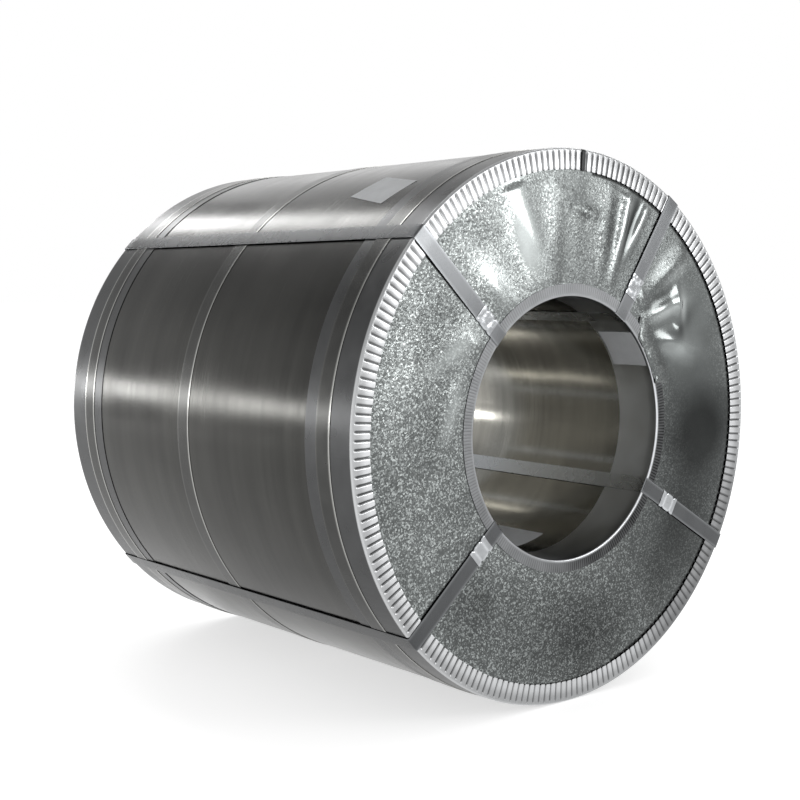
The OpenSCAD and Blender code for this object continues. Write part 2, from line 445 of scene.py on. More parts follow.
def spin(outline: Sequence[Point], steps: int, cuts: int = 0, start: float = 0.0, gap: float = 0.0) -> BMesh:
    """Turns a closed outline around the coil's axis.

    Args:
        outline: Points as radius and Y.
        steps: Number of steps in the turn.
        cuts: Number of cuts in each step.
        start: The angle at which the turn starts.
        gap: The angle left open at the end of the turn.

    Returns:
        The mesh.
    """
    bm = bmesh.new()
    verts = [bm.verts.new(around(r, start, y)) for r, y in outline]
    edges = [bm.edges.new(pair) for pair in zip(verts, verts[1:] + verts[:1])]
    made = bmesh.ops.spin(bm, geom=verts + edges, cent=(0, 0, 0), axis=(0, -1, 0), dvec=(0, 0, 0),
                          angle=TURN - gap, steps=steps, use_merge=not gap, use_duplicate=False)
    if cuts:
        step = (TURN - gap) / steps
        chords = []
        for edge in bm.edges:
            a, b = (v.co.xz for v in edge.verts)
            if (a - b).length > 0.5 * step * a.length and abs(a.length - b.length) < HAIR:
                chords.append(edge)
        bmesh.ops.subdivide_edges(bm, edges=chords, cuts=cuts, use_grid_fill=True)
        for vert in bm.verts:
            place = (math.atan2(vert.co.z, vert.co.x) - start) / step % 1.0 - 0.5
            vert.co.xz *= math.cos(place * step) / math.cos(step / 2)
    if gap:
        last = [e for e in made["geom_last"] if isinstance(e, BMEdge)]
        bmesh.ops.edgeloop_fill(bm, edges=edges)
        bmesh.ops.edgeloop_fill(bm, edges=last)
    bmesh.ops.recalc_face_normals(bm, faces=bm.faces)
    return bm


def reshape(bm: BMesh, rule: Rule) -> None:
    """Moves every vertex by a rule in polar coordinates.

    Args:
        bm: The mesh.
        rule: Takes and returns radius, angle and Y.
    """
    for vert in bm.verts:
        vert.co = around(*rule(*polar(vert.co), vert.co.y))
    bm.normal_update()


def arc(centre: Point, radius: float, start: float, stop: float, steps: int) -> list[Point]:
    """Points on an arc.

    Args:
        centre: The arc's centre.
        radius: Its radius.
        start: The first angle in degrees.
        stop: The last angle in degrees.
        steps: Number of steps between them.

    Returns:
        The points.
    """
    angles = [math.radians(start + (stop - start) * i / steps) for i in range(steps + 1)]
    return [(centre[0] + radius * math.cos(a), centre[1] + radius * math.sin(a)) for a in angles]


def between(a: float, b: float, steps: int) -> list[float]:
    """Evenly spaced numbers, both ends included.

    Args:
        a: The first.
        b: The last.
        steps: Number of steps.

    Returns:
        The numbers.
    """
    return [a + (b - a) * i / steps for i in range(steps + 1)]


@dataclass
class Piece:
    """A piece of the wrapping that stands for one CAD node."""

    node: str
    slot: str
    finish: Finish
    crease: float = 40.0

    def build(self) -> BMesh:
        """Makes the piece's mesh in the row's frame.

        Returns:
            The mesh.
        """
        raise NotImplementedError

    def dress(self, piece: Object) -> None:
        """Gives the piece its material and its place on the frame.

        Args:
            piece: The piece.
        """
        piece.data.materials.append(self.finish.material())
        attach(piece, "root")
        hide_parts(self.node)

    def make(self) -> Object:
        """Builds and dresses the piece.

        Returns:
            The piece's object.
        """
        bm = self.build()
        mesh = bpy.data.meshes.new(f"{self.node}_skin")
        bm.to_mesh(mesh)
        bm.free()
        mesh.shade_smooth()
        mesh.set_sharp_from_angle(angle=math.radians(self.crease))
        piece = bpy.data.objects.new(mesh.name, mesh)
        bpy.context.scene.collection.objects.link(piece)
        self.dress(piece)
        LOG.info("%s: %d triangles", piece.name, sum(len(p.vertices) - 2 for p in mesh.polygons))
        return piece


@dataclass
class Tube(Piece):
    """A rolled sheet: the wrap around the outside or the liner in the bore."""

    sheet: float = 0.6 * MM
    waves: float = 0.2 * MM
    inward: bool = False

    def build(self) -> BMesh:
        """Spins the sheet and gives it slow waves.

        Returns:
            The mesh.
        """
        span = Span.of(self.node)
        inner = span.r_max - self.sheet
        seen, hidden = (inner, span.r_max) if self.inward else (span.r_max, inner)
        rows = between(span.y_min, span.y_max, 50)
        outline = [(seen, y) for y in rows] + [(hidden, rows[-1]), (hidden, rows[0])]
        bm = spin(outline, 90, 3)
        reshape(bm, self._wave)
        return bm

    def _wave(self, r: float, a: float, y: float) -> Place:
        """Slow waves in the sheet.

        Args:
            r: The radius.
            a: The angle.
            y: The place along the axis.

        Returns:
            The moved radius, angle and Y.
        """
        spot = Vector((3 * math.cos(a), 5 * y, 3 * math.sin(a)))
        return r + self.waves * (noise.noise(spot) + 0.4 * noise.noise(2.7 * spot)), a, y


@dataclass
class EndPiece(Piece):
    """A piece on one end of the coil, measured outwards from the winding's end."""

    end: End = End.FRONT

    def __post_init__(self) -> None:
        """Measures the CAD node."""
        self.span = Span.of(self.node)
        self.low, self.top = sorted(abs(y) - HALF for y in (self.span.y_min, self.span.y_max))

    def out(self, y: float) -> float:
        """How far a place lies outside the winding's end.

        Args:
            y: The place along the axis.

        Returns:
            The distance, below 0 for a place along the winding.
        """
        return self.end.value * y - HALF

    def along(self, out: float) -> float:
        """The place along the axis at a distance outside the winding's end.

        Args:
            out: The distance.

        Returns:
            The place.
        """
        return self.end.value * (HALF + out)


@dataclass
class OuterEdgeRing(EndPiece):
    """The fluted ring over the coil's outer edge."""

    count: int = 214
    joint: float = 87.7
    opening: float = 2 * MM
    bend: float = 4 * MM
    shoulder: float = 0.12
    per_flute: int = 10

    def __post_init__(self) -> None:
        """Measures the CAD ring and draws how far each flute is off."""
        super().__post_init__()
        rng = random.Random(7 + self.end.value)
        self.jitter = [rng.uniform(-1, 1) for _ in range(self.count)]

    def build(self) -> BMesh:
        """Spins the ring's section and presses the flutes.

        Returns:
            The mesh.
        """
        rim, tip = self.span.r_max, self.span.r_min
        centre = (rim - self.bend, self.top - self.bend)
        outside = [(rim, o) for o in (self.low, 0.5 * self.low, -6 * MM, -2 * MM, 0.0)]
        outside += arc(centre, self.bend, 0, 90, 6)
        outside += [(r, self.top) for r in between(centre[0], tip, 14)[1:]]
        inside = [(r, self.top - SHEET) for r in between(tip, centre[0], 7)]
        inside += arc(centre, self.bend - SHEET, 90, 0, 3)[1:] + [(rim - SHEET, self.low)]
        outline = [(r, self.along(o)) for r, o in outside + inside]
        gap = self.opening / rim
        bm = spin(outline, self.count, self.per_flute - 1, math.radians(self.joint) + gap / 2, gap)
        reshape(bm, self._press)
        self._paint(bm)
        return bm

    def _paint(self, bm: BMesh) -> None:
        """Writes how bright the ring is, all painted light and shade: flutes lighter towards their inner ends
        as a painted highlight, darker bands around 72° and -38° as painted shade, painted shade in the
        grooves, a painted shadow at the joint and painted shade on the undersides.

        Args:
            bm: The ring's mesh.
        """
        rim, tip = self.span.r_max, self.span.r_min
        edge = bm.verts.layers.float.new("edge")
        for vert in bm.verts:
            r, a = polar(vert.co)
            angle = math.degrees(a)
            inward = (rim - r) / (rim - tip)
            out = self.out(vert.co.y)
            # Painted highlight: each flute lighter towards its inner end. Painted shade: darker bands around
            # 72° and -38°.
            bright = 1.2 - 0.5 * smooth(inward / self.shoulder) + 0.5 * smooth((inward - 0.3) / 0.5)
            bright *= 1 - 0.3 * band(angle, 72, 20, 1.2) - 0.65 * band(angle, -38, 26, 1.5)
            # Painted shade in the grooves, darker the deeper they are, less of it around 118°.
            groove = smooth((self.top - out - 0.4 * MM) / (1.8 * MM)) if inward > self.shoulder else 0.0
            groove_shade = 0.85 - 0.45 * band(angle, 118, 26, 1.5)
            vert[edge] = bright * smooth((out + 1.0 * MM) / (2.0 * MM)) * (1 - groove_shade * groove)
            # Painted shadow beside the joint, where the ring's other end would lie over it.
            if out > 0 and 0 < self.joint - angle < 0.7 * 360 / self.count:
                vert[edge] = min(vert[edge], -0.10)
            # Painted shade on the undersides that face the disc.
            if vert.normal.y * self.end.value < -0.3 and inward > 0.05:
                vert[edge] = -0.14

    def _press(self, r: float, a: float, y: float) -> Place:
        """Presses the grooves into the flange and rounds the flutes' inner ends.

        Args:
            r: The radius.
            a: The angle.
            y: The place along the axis.

        Returns:
            The moved radius, angle and Y.
        """
        out = self.out(y)
        flat = self.span.r_max - self.bend
        inward = (flat - r) / (flat - self.span.r_min)
        if inward <= 0 or out < 0:
            return r, a, y
        place = (a - math.radians(self.joint)) / TURN * self.count
        own = self.jitter[int(place % self.count)]
        across = abs(place % 1.0 - 0.5) * 2
        groove = smooth((across - 0.62) / 0.38)
        depth = (2.2 * groove + 0.35 * across ** 2) * smooth(inward / self.shoulder)
        nose = smooth((inward - 0.84) / 0.16)
        depth += (1.0 - groove) * (0.4 * nose ** 2 + 0.2 * own)
        r += (3.0 * groove + 0.5 * own) * MM * nose
        return r, a + 0.0006 * own * inward, self.along(out - min(max(depth, 0.0), 2.3) * MM)


@dataclass
class InnerEdgeRing(EndPiece):
    """The ring over the bore's edge, with fine crimps in its flange."""

    count: int = 290
    bend: float = 3 * MM

    def __post_init__(self) -> None:
        """Measures the CAD ring and where its flange gets flat."""
        super().__post_init__()
        self.flat = self.span.r_min + self.bend

    def build(self) -> BMesh:
        """Spins the ring's section and crimps the flange.

        Returns:
            The mesh.
        """
        span = self.span
        centre = (self.flat, self.top - self.bend)
        inside = [(span.r_min, o) for o in between(self.low, centre[1], 5)]
        inside += arc(centre, self.bend, 165, 90, 5)
        inside += [(r, self.top) for r in between(self.flat, span.r_max, 6)[1:]]
        outside = [(span.r_max, self.top - SHEET), (self.flat, self.top - SHEET)]
        outside += arc(centre, self.bend - SHEET, 90, 180, 3)[1:] + [(span.r_min + SHEET, self.low)]
        bm = spin([(r, self.along(o)) for r, o in inside + outside], self.count, 5)
        reshape(bm, self._crimp)
        edge = bm.verts.layers.float.new("edge")
        for vert in bm.verts:
            r, a = polar(vert.co)
            out = self.out(vert.co.y)
            # Painted light and shade: a painted highlight along the bend, stronger around -35°, and the ring
            # darker around -35°.
            low = band(math.degrees(a), -35, 45, 1.8)
            glint = smooth(1 - abs(r - self.flat + 1.5 * MM) / (3 * MM)) * (0.5 + 1.8 * low)
            vert[edge] = glint - 0.03 - 0.42 * low
            # Painted shade on the flange, darker the deeper it lies below its top, as in the crimps' hollows;
            # painted light on the leg in the bore.
            if r > self.flat:
                vert[edge] -= max(self.top - out, 0.0) / MM
            elif out < centre[1]:
                vert[edge] = 1.0
        return bm

    def _crimp(self, r: float, a: float, y: float) -> Place:
        """Presses the fine crimps into the flange.

        Args:
            r: The radius.
            a: The angle.
            y: The place along the axis.

        Returns:
            The moved radius, angle and Y.
        """
        out = self.out(y)
        inward = (r - self.flat) / (self.span.r_max - self.flat)
        if out < self.top - self.bend or inward < 0:
            return r, a, y
        place = a / TURN * self.count
        groove = smooth(abs(place % 1.0 - 0.5) * 4 - 1)
        return r, a, self.along(out - 0.25 * MM * groove * smooth(inward / 0.25))


@dataclass(frozen=True)
class Buckle:
    """A fold or bulge in an end disc: its place, direction, half length, half width and rise in mm."""

    angle: float
    radius: float
    turn: float
    reach: float
    width: float
    rise: float

    def lift(self, x: float, z: float) -> float:
        """The height of the fold over a point.

        Args:
            x: The point's X in metres.
            z: The point's Z in metres.

        Returns:
            The height in metres.
        """
        a, t = math.radians(self.angle), math.radians(self.angle + self.turn)
        dx, dz = x / MM - self.radius * math.cos(a), z / MM - self.radius * math.sin(a)
        along = (dx * math.cos(t) + dz * math.sin(t)) / self.reach
        across = (dz * math.cos(t) - dx * math.sin(t)) / self.width
        return self.rise * MM * math.exp(-along * along - across * across)


FRONT_BUCKLES = (
    Buckle(108, 415, 10, 105, 34, 6.0), Buckle(97, 380, -6, 80, 20, 2.5), Buckle(120, 455, 30, 50, 28, 2.5),
    Buckle(127, 330, 10, 60, 24, 2.5), Buckle(92, 440, 70, 40, 18, 2.0), Buckle(83, 412, 85, 26, 10, 3.5),
    Buckle(76, 395, 5, 80, 20, 3.0), Buckle(70, 415, 3, 90, 11, 6.0), Buckle(64, 440, -6, 60, 9, 5.0),
    Buckle(72, 465, 80, 30, 10, 2.0), Buckle(47, 420, -10, 70, 20, 5.5), Buckle(40, 350, -20, 55, 16, 6.0),
    Buckle(36, 388, 60, 40, 13, 5.0), Buckle(29, 335, -30, 46, 20, 6.0), Buckle(22, 380, -20, 64, 30, 5.0),
    Buckle(14, 430, -10, 60, 32, 3.0), Buckle(50, 318, 75, 22, 10, 3.0), Buckle(150, 345, 60, 60, 32, 2.4),
    Buckle(170, 312, 80, 70, 22, 1.8), Buckle(146, 290, 0, 26, 10, 2.2), Buckle(-128, 330, 20, 40, 14, 2.0),
    Buckle(-146, 325, -20, 40, 12, 1.8), Buckle(-100, 420, 90, 90, 40, 1.6),
    Buckle(-60, 400, 30, 90, 40, 1.2),
)
# Where the front disc is rubbed smooth: here the rise is a share, not a height
FRONT_SMOOTH = (
    Buckle(30, 380, 0, 120, 130, 1.3), Buckle(-4, 410, 90, 130, 130, 1.0), Buckle(67, 430, 0, 100, 34, 1.2),
    Buckle(108, 405, 8, 110, 28, 1.2), Buckle(126, 330, 10, 60, 26, 0.8), Buckle(152, 335, 60, 64, 24, 0.75),
    Buckle(171, 306, 80, 54, 20, 0.7), Buckle(90, 330, 0, 40, 40, 0.4), Buckle(111, 362, 4, 62, 20, 0.7),
    Buckle(-38, 400, 90, 130, 130, 0.6),
)
# Painted light and shade on the front disc, standing in for its reflections: lighter bands and fold outlines,
# darker stripes and a darker right and lower side; here too the rise is a share
FRONT_PAINTED_LIGHT = (
    Buckle(108, 405, 8, 110, 24, 2.2), Buckle(125, 350, 20, 90, 30, 0.8), Buckle(97, 430, 0, 60, 26, 0.4),
    Buckle(70.5, 420, 3, 90, 6, 2.2), Buckle(64, 440, -6, 62, 5, 1.8), Buckle(67, 430, -2, 70, 9, -0.8),
    Buckle(75, 400, 4, 80, 12, -0.5), Buckle(111, 362, 4, 62, 18, 1.6), Buckle(44, 420, -12, 60, 12, 1.0),
    Buckle(39, 352, -20, 50, 12, 1.2), Buckle(34, 400, 60, 34, 9, 0.9), Buckle(25, 345, -25, 56, 18, 0.8),
    Buckle(45, 375, -10, 60, 16, -0.6), Buckle(30, 378, 20, 44, 16, -0.6), Buckle(31, 288, 90, 66, 14, -0.4),
    Buckle(152, 335, 60, 66, 20, 1.5), Buckle(171, 306, 80, 56, 17, 1.3), Buckle(165, 440, 90, 130, 40, 0.5),
    Buckle(-2, 400, 90, 120, 150, -0.80), Buckle(-36, 400, 90, 170, 150, -0.74),
    Buckle(-85, 400, 90, 150, 110, -0.64), Buckle(-128, 400, 90, 90, 90, -0.40),
    Buckle(86, 400, 5, 70, 14, -0.35), Buckle(112, 400, 90, 150, 90, 0.42),
)
BACK_BUCKLES = (
    Buckle(75, 400, 10, 80, 22, 3.0), Buckle(105, 430, -15, 60, 18, 2.5), Buckle(20, 380, 40, 70, 26, 2.5),
    Buckle(175, 400, -20, 80, 30, 2.0), Buckle(-90, 410, 90, 90, 40, 1.6), Buckle(-60, 350, 15, 50, 16, 2.0),
)
# The bent lip's section, from the disc to its free edge: radius past the bore's ring and height, in mm
LIP_PATH = ((26, 0.4), (18, 1.6), (8, 2.6), (-2, 3.4), (-10, 4.0), (-16, 4.2), (-20, 3.6), (-22.5, 2.6))
LIP_REACH = 48 * MM


@dataclass
class EndDisc(EndPiece):
    """The dented sheet over one end of the coil."""

    buckles: Sequence[Buckle] = FRONT_BUCKLES
    polished: Sequence[Buckle] = FRONT_SMOOTH
    # Painted light and shade, standing in for the disc's reflections.
    painted_light_and_shade: Sequence[Buckle] = FRONT_PAINTED_LIGHT
    straps: Sequence[float] = ()
    lip: Point = (0.0, 0.0)
    # The floor on how dark the painted shade may get.
    darkest_painted_shade: float = -0.83
    # The painted shadow under the outer ring's flutes: its tone, width and angles in degrees.
    flute_shadow_tone: float = -0.85
    flute_shadow_width: float = 5 * MM
    flute_shadow_angles: Point = (-75, 84)

    def __post_init__(self) -> None:
        """Measures the CAD disc and the rings over its edges."""
        super().__post_init__()
        self.ring = Span.of(f"inner_edge_ring_{self.end.tag}").r_max
        self.rim = Span.of(f"outer_edge_ring_{self.end.tag}").r_min

    def build(self) -> BMesh:
        """Spins the sheet, presses the dents out of it and writes its shine and its painted light and shade.

        Returns:
            The mesh.
        """
        radii = between(self.span.r_min, self.ring, 3) + between(self.ring, self.rim, 58)[1:-1]
        radii += between(self.rim, self.span.r_max, 3)
        outline = [(r, self.top) for r in radii] + [(r, self.low) for r in (radii[-1], radii[0])]
        bm = spin([(r, self.along(o)) for r, o in outline], 120, 5)
        reshape(bm, self._dent)
        if self.lip[1]:
            self._bend_lip(bm)
        edge = bm.verts.layers.float.new("edge")
        tone = bm.verts.layers.float.new("tone")
        for vert in bm.verts:
            x, z = vert.co.xz
            vert[edge] = min(sum(b.lift(x, z) for b in self.polished) / MM, 1.0)
            # Painted light and shade, standing in for reflections, with a floor on how dark it gets.
            vert[tone] = max(sum(b.lift(x, z) for b in self.painted_light_and_shade) / MM, self.darkest_painted_shade)
            r, a = polar(vert.co)
            # Painted shadow: a thin ring just inside the outer ring's flutes is written dark.
            if r > self.rim - self.flute_shadow_width and self.flute_shadow_angles[0] < math.degrees(a) < self.flute_shadow_angles[1]:
                vert[tone] = self.flute_shadow_tone
        return bm

    def _bend_lip(self, bm: BMesh) -> None:
        """Adds the torn lip of the sheet that is bent over the bore's ring.

        Args:
            bm: The disc's mesh.
        """
        start, stop = (math.radians(end) for end in self.lip)
        sheet = [(self.ring + r * MM, self.top + o * MM) for r, o in LIP_PATH]
        outline = sheet + [(r, o - 0.5 * MM) for r, o in reversed(sheet)]
        lip = spin([(r, self.along(o)) for r, o in outline], 64, 0, start, TURN - (stop - start))
        reshape(lip, self._crumple)
        mesh = bpy.data.meshes.new("lip")
        lip.to_mesh(mesh)
        lip.free()
        bm.from_mesh(mesh)
        bpy.data.meshes.remove(mesh)

    def _crumple(self, r: float, a: float, y: float) -> Place:
        """Waves and notches of the lip's free edge.

        Args:
            r: The radius.
            a: The angle.
            y: The place along the axis.

        Returns:
            The moved radius, angle and Y.
        """
        start, stop = (math.radians(end) for end in self.lip)
        share = (self.ring + LIP_PATH[0][0] * MM - r) / LIP_REACH
        ends = smooth((a - start) / 0.05) * smooth((stop - a) / 0.12)
        wave = noise.noise(Vector((a * 14, share * 2, 5.0)))
        rise = (self.out(y) - self.top) * (0.35 + 0.65 * ends) + 4.0 * MM * wave * share
        pull = (1 - ends) * 30 * MM * share + 5 * MM * noise.noise(Vector((a * 22, 0.0, 9.0))) * share
        return r + max(pull, 0.0), a, self.along(self.top + max(rise, 0.2 * MM))

    def _dent(self, r: float, a: float, y: float) -> Place:
        """Lifts the outer face by the dents, less under the straps and the rings.

        Args:
            r: The radius.
            a: The angle.
            y: The place along the axis.

        Returns:
            The moved radius, angle and Y.
        """
        out = self.out(y)
        if out < self.top - SHEET / 2:
            return r, a, y
        x, _, z = around(r, a, y)
        room = smooth((r - self.ring) / (14 * MM)) * smooth((self.rim - 3 * MM - r) / (16 * MM))
        lift = sum(b.lift(x, z) for b in self.buckles)
        lift += 0.5 * MM * max(noise.noise(Vector((9 * x, 3.0 * self.end.value, 9 * z))), 0.0)
        for strap in self.straps:
            away = abs(z * math.cos(strap) - x * math.sin(strap))
            if x * math.cos(strap) + z * math.sin(strap) > 0 and away < 46 * MM:
                lift = min(lift, (0.8 + 7 * smooth((away / MM - 18) / 28)) * MM)
        return r, a, self.along(out + lift * room)


def strap_section(width: float, rounding: float = 0.3 * MM) -> list[tuple[float, float, float]]:
    """Outline of a strap across its width.

    Args:
        width: The strap's width.
        rounding: Size of its rounded corners.

    Returns:
        Points as place across the width, height over the contact face and painted highlight of the edge.
    """
    half = width / 2
    insets = (0.0, rounding, 1.2 * MM, 3 * MM, 6 * MM)
    # Painted highlight along each edge, fading inwards.
    glow = (1.0, 1.0, 1.0, 0.45, 0.0)
    heights = (SHEET - rounding, SHEET, SHEET, SHEET, SHEET)
    left = [(-half + i, h, g) for i, h, g in zip(insets, heights, glow)]
    right = [(-t, h, g) for t, h, g in reversed(left)]
    return [(-half, 0.0, 1.0)] + left + right + [(half, 0.0, 1.0)]


@dataclass
class GirthStrap(Piece):
    """A steel strap around the outside, with the shine of its edge towards the front and of the other."""

    shine: Point = (1.0, 1.0)

    def build(self) -> BMesh:
        """Spins the strap's section and leans it as the CAD strap leans.

        Returns:
            The mesh.
        """
        span = Span.of(self.node)
        lean = span.lean if abs(span.lean) > 0.005 else 0.0
        middle = (span.y_min + span.y_max) / 2
        width = span.y_max - span.y_min - 2 * abs(lean) * span.r_max
        section = strap_section(width)
        bm = spin([(span.r_max - SHEET + h, middle + t) for t, h, _ in section], 120, 3)
        glow = {round(t / MM, 2): g for t, _, g in section}
        edge = bm.verts.layers.float.new("edge")
        for vert in bm.verts:
            # Painted highlight along the edges, its strength on each side set by shine.
            side = self.shine[0] if vert.co.y < middle else self.shine[1]
            vert[edge] = side * glow.get(round((vert.co.y - middle) / MM, 2), 0.0)
            vert.co.y += lean * vert.co.z
        bm.normal_update()
        return bm


@dataclass
class EyeStrap(Piece):
    """A steel strap through the bore and over both ends."""

    width: float = 32 * MM
    bend: float = 3 * MM
    shine: float = 0.9

    def build(self) -> BMesh:
        """Carries the strap's section around its loop.

        Returns:
            The mesh.
        """
        span = Span.of(self.node)
        section = strap_section(self.width)
        path = self._path(span)
        bm = bmesh.new()
        edge = bm.verts.layers.float.new("edge")
        verts = [bm.verts.new() for _ in section]
        ring = [bm.edges.new(pair) for pair in zip(verts, verts[1:] + verts[:1])]
        count = len(path)
        for i in range(count + 1):
            (r0, y0), (r, y), (r1, y1) = (path[(i + k) % count] for k in (-1, 0, 1))
            along = Vector((r1 - r0, y1 - y0)).normalized()
            for vert, (t, h, glow) in zip(verts, section):
                radius, place = r - along.y * h, y + along.x * h
                angle = span.angle + t / radius
                vert.co = around(radius, angle, place)
                # Painted light and shade: on the ends a painted highlight, stronger along the edges; on the
                # outside a little painted shade.
                on_end = smooth((abs(y) - span.y_max + 6 * MM) / (3 * MM))
                vert[edge] = on_end * (self.shine + 0.5 * glow) - 0.10 * (1 - on_end)
                # Painted light: the strap in the bore is written much lighter.
                if r < span.r_min + 2 * MM:
                    vert[edge] = 3.0
            if i < count:
                made = bmesh.ops.extrude_edge_only(bm, edges=ring)["geom"]
                ring = [e for e in made if isinstance(e, BMEdge)]
                fresh = [v for v in made if isinstance(v, BMVert)]
                verts = self._matched(verts, fresh)
        bmesh.ops.remove_doubles(bm, verts=bm.verts, dist=HAIR)
        bmesh.ops.recalc_face_normals(bm, faces=bm.faces)
        return bm

    @staticmethod
    def _matched(old: Sequence[BMVert], fresh: Sequence[BMVert]) -> list[BMVert]:
        """Puts the vertices of an extrusion in the order of the ones they came from.

        Args:
            old: The vertices that were extruded.
            fresh: The new vertices.

        Returns:
            The new vertices in order.
        """
        new = set(fresh)
        return [next(e.other_vert(v) for e in v.link_edges if e.other_vert(v) in new) for v in old]

    def _path(self, span: Span) -> list[Point]:
        """The loop of the strap's contact face.

        Args:
            span: Where the CAD strap lies.

        Returns:
            Points as radius and Y, outwards along the front end.
        """
        inner = Span.of("inner_edge_ring_front")
        flute = Span.of("outer_edge_ring_front")
        outer_r, inner_r = span.r_max - SHEET, span.r_min + SHEET
        high, low = span.y_max - SHEET, -inner.y_min + LAY
        straight = HALF - 20 * MM
        front = arc((inner_r + self.bend, low - self.bend), self.bend, 180, 90, 5)
        front += zip(between(inner.r_max, flute.r_min, 20), between(low, high, 20))
        front += arc((outer_r - self.bend, high - self.bend), self.bend, 90, 0, 5)
        outside = [(outer_r, y) for y in between(straight, -straight, 30)]
        bore = [(inner_r, y) for y in between(-straight, straight, 20)]
        return front + outside + [(r, -y) for r, y in reversed(front)] + bore


@dataclass
class Seal(Piece):
    """A crimped seal over the two ends of a strap."""

    length: float = 46 * MM
    width: float = 34.2 * MM
    height: float = 2.8 * MM
    notch: float = 3 * MM

    def sheet(self, seed: int) -> BMesh:
        """Makes a flat seal at the origin: length along X, width along Z, top face towards -Y.

        Args:
            seed: Seed of its dents.

        Returns:
            The mesh.
        """
        bm = bmesh.new()
        bmesh.ops.create_grid(bm, x_segments=30, y_segments=14, size=0.5)
        for vert in bm.verts:
            vert.co = (vert.co.x * self.length, 0.0, vert.co.y * self.width)
        edge = bm.verts.layers.float.new("edge")
        made = bmesh.ops.extrude_face_region(bm, geom=bm.faces[:])["geom"]
        top = {v for v in made if isinstance(v, BMVert)}
        for vert in bm.verts:
            x, side = vert.co.x / self.length, vert.co.z / self.width * 2
            pinch = math.exp(-(((abs(x) - 0.25) * self.length) / (2.6 * MM)) ** 2)
            rim = smooth((abs(side) - 0.62) / 0.38)
            vert.co.z -= math.copysign(self.notch * pinch * rim, vert.co.z)
            if vert in top:
                dent = noise.noise(Vector((x * 5, side * 2.4, seed)))
                vert.co.y = -self.height + (0.9 * pinch * rim + 0.35 * smooth((abs(side) - 0.8) / 0.2)) * MM
                vert.co.y += 0.55 * MM * dent
            # Painted highlight on the crimps and along the rim.
            vert[edge] = max(rim, pinch)
        bmesh.ops.recalc_face_normals(bm, faces=bm.faces)
        sharp = [e for e in bm.edges if e.calc_face_angle(0.0) > math.radians(60)]
        bmesh.ops.bevel(bm, geom=sharp, offset=0.3 * MM, offset_type="OFFSET", segments=2, profile=0.5,
                        affect="EDGES", material=-1)
        return bm


@dataclass
class EyeSeal(Seal):
    """A seal on the front end, over an eye strap that climbs from the bore's ring to the outer one."""

    angle: float = 0.0
    climb: float = 2.2 * MM
    run: float = 212 * MM

    def build(self) -> BMesh:
        """Makes the seal and lays it over its strap.

        Returns:
            The mesh.
        """
        low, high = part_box(self.node)
        middle = (low + high) / 2
        reach, _ = polar(middle)
        bm = self.sheet(int(reach * 1000))
        tilt = Matrix.Rotation(-math.atan2(self.climb, self.run), 4, "Z")
        shift = Matrix.Translation((reach, middle.y + self.height / 2, 0))
        bm.transform(Matrix.Rotation(-self.angle, 4, "Y") @ shift @ tilt)
        bmesh.ops.recalc_face_normals(bm, faces=bm.faces)
        return bm


@dataclass
class GirthSeal(Seal):
    """A seal on the outside, over a girth strap."""

    width: float = 42.2 * MM
    height: float = 1.8 * MM

    def build(self) -> BMesh:
        """Makes the seal and bends it onto its strap.

        Returns:
            The mesh.
        """
        span = Span.of(self.node)
        middle = (span.y_min + span.y_max) / 2
        base = span.r_max - self.height - 0.1 * MM
        bm = self.sheet(int(1000 * (middle + 2)))
        for vert in bm.verts:
            vert.co = around(base - vert.co.y, span.angle + vert.co.x / base, middle + vert.co.z)
        bmesh.ops.recalc_face_normals(bm, faces=bm.faces)
        return bm


@dataclass
class Label(Piece):
    """A blank paper label on a round wall."""

    length: float = 130 * MM
    width: float = 84 * MM
    slant: float = 0.0
    paper: float = 0.2 * MM
    lift: float = 0.6 * MM
    inward: bool = False

    def build(self) -> BMesh:
        """Bends a sheet of paper onto the wall, its corners a little off it.

        Returns:
            The mesh.
        """
        span = Span.of(self.node)
        middle = (span.y_min + span.y_max) / 2
        slant = math.radians(self.slant)
        bm = bmesh.new()
        bmesh.ops.create_grid(bm, x_segments=24, y_segments=24, size=0.5)
        made = bmesh.ops.extrude_face_region(bm, geom=bm.faces[:])["geom"]
        top = {v for v in made if isinstance(v, BMVert)}
        for vert in bm.verts:
            u, v = vert.co.x, vert.co.y
            curl = self.lift * smooth(4 * abs(u * v) - 0.35)
            off = curl + (self.paper if vert in top else 0.0)
            radius = span.r_max - off if self.inward else span.r_min + off
            along, across = u * self.length, v * self.width
            y = along * math.cos(slant) - across * math.sin(slant)
            a = span.angle + (along * math.sin(slant) + across * math.cos(slant)) / radius
            vert.co = around(radius, a, middle + y)
        bmesh.ops.recalc_face_normals(bm, faces=bm.faces)
        return bm


